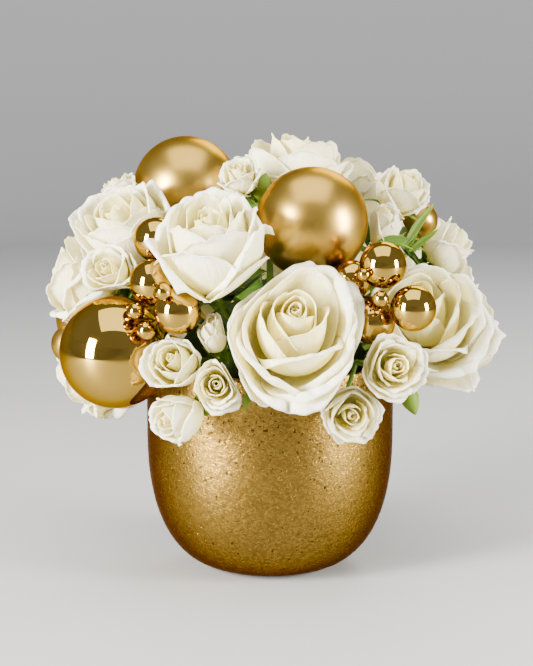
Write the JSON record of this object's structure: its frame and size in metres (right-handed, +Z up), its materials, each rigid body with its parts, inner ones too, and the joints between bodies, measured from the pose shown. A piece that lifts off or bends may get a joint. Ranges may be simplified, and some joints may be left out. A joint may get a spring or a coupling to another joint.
{
  "type": "floral table centerpiece",
  "caption": "Round gold bowl filled with a dense dome of white roses, white spray roses and gold baubles, in matte and mirror finish, for a set table.",
  "frame": {"origin": "middle of the bowl's flat underside", "axes": "+Z up, out of the bowl; -Y towards the front of the arrangement, the side seen in the picture; +X to its right"},
  "size_m": [0.2938, 0.284, 0.2771],
  "materials": {
    "bowl_gold": "gold leaf, satin, finely textured",
    "foam_green": "matte floral foam",
    "petal_white": "fresh rose petal, soft sheen",
    "leaf_green": "fresh stem, calyx and sepal",
    "satin_gold": "matte metallic lacquer",
    "mirror_gold": "vacuum-metallised mirror gold"
  },
  "bodies": {
    "root": {"bauble_mirror": "mirror_gold", "bauble_satin_back": "satin_gold", "bauble_satin_left": "satin_gold", "bauble_satin_right": "satin_gold", "bauble_small_left": "satin_gold", "bauble_small_right": "satin_gold", "bowl": "bowl_gold", "bunch_back": "mirror_gold", "bunch_left": "mirror_gold", "bunch_right": "mirror_gold", "floral_foam": "foam_green", "rose_back_green": "leaf_green", "rose_back_left_green": "leaf_green", "rose_back_left_petals": "petal_white", "rose_back_petals": "petal_white", "rose_back_right_green": "leaf_green", "rose_back_right_petals": "petal_white", "rose_back_top_green": "leaf_green", "rose_back_top_petals": "petal_white", "rose_front_green": "leaf_green", "rose_front_petals": "petal_white", "rose_front_upper_green": "leaf_green", "rose_front_upper_petals": "petal_white", "rose_left_green": "leaf_green", "rose_left_low_green": "leaf_green", "rose_left_low_petals": "petal_white", "rose_left_petals": "petal_white", "rose_left_upper_green": "leaf_green", "rose_left_upper_petals": "petal_white", "rose_right_green": "leaf_green", "rose_right_petals": "petal_white", "rose_right_side_green": "leaf_green", "rose_right_side_petals": "petal_white", "rose_top_green": "leaf_green", "rose_top_petals": "petal_white", "rose_top_right_green": "leaf_green", "rose_top_right_petals": "petal_white", "spray_back_left_petals": "petal_white", "spray_back_middle_petals": "petal_white", "spray_back_right_petals": "petal_white", "spray_back_shoulder_petals": "petal_white", "spray_back_side_petals": "petal_white", "spray_green_back": "leaf_green", "spray_green_left": "leaf_green", "spray_green_right": "leaf_green", "spray_green_shoulder": "leaf_green", "spray_green_side": "leaf_green", "spray_green_top": "leaf_green", "spray_left_back_petals": "petal_white", "spray_left_bud_petals": "petal_white", "spray_left_inner_petals": "petal_white", "spray_left_low_petals": "petal_white", "spray_left_ruffled_petals": "petal_white", "spray_left_upper_petals": "petal_white", "spray_right_low_petals": "petal_white", "spray_right_upper_petals": "petal_white", "spray_shoulder_bud_petals": "petal_white", "spray_shoulder_petals": "petal_white", "spray_shoulder_right_petals": "petal_white", "spray_top_ruffled_petals": "petal_white"}
  },
  "joints": []
}
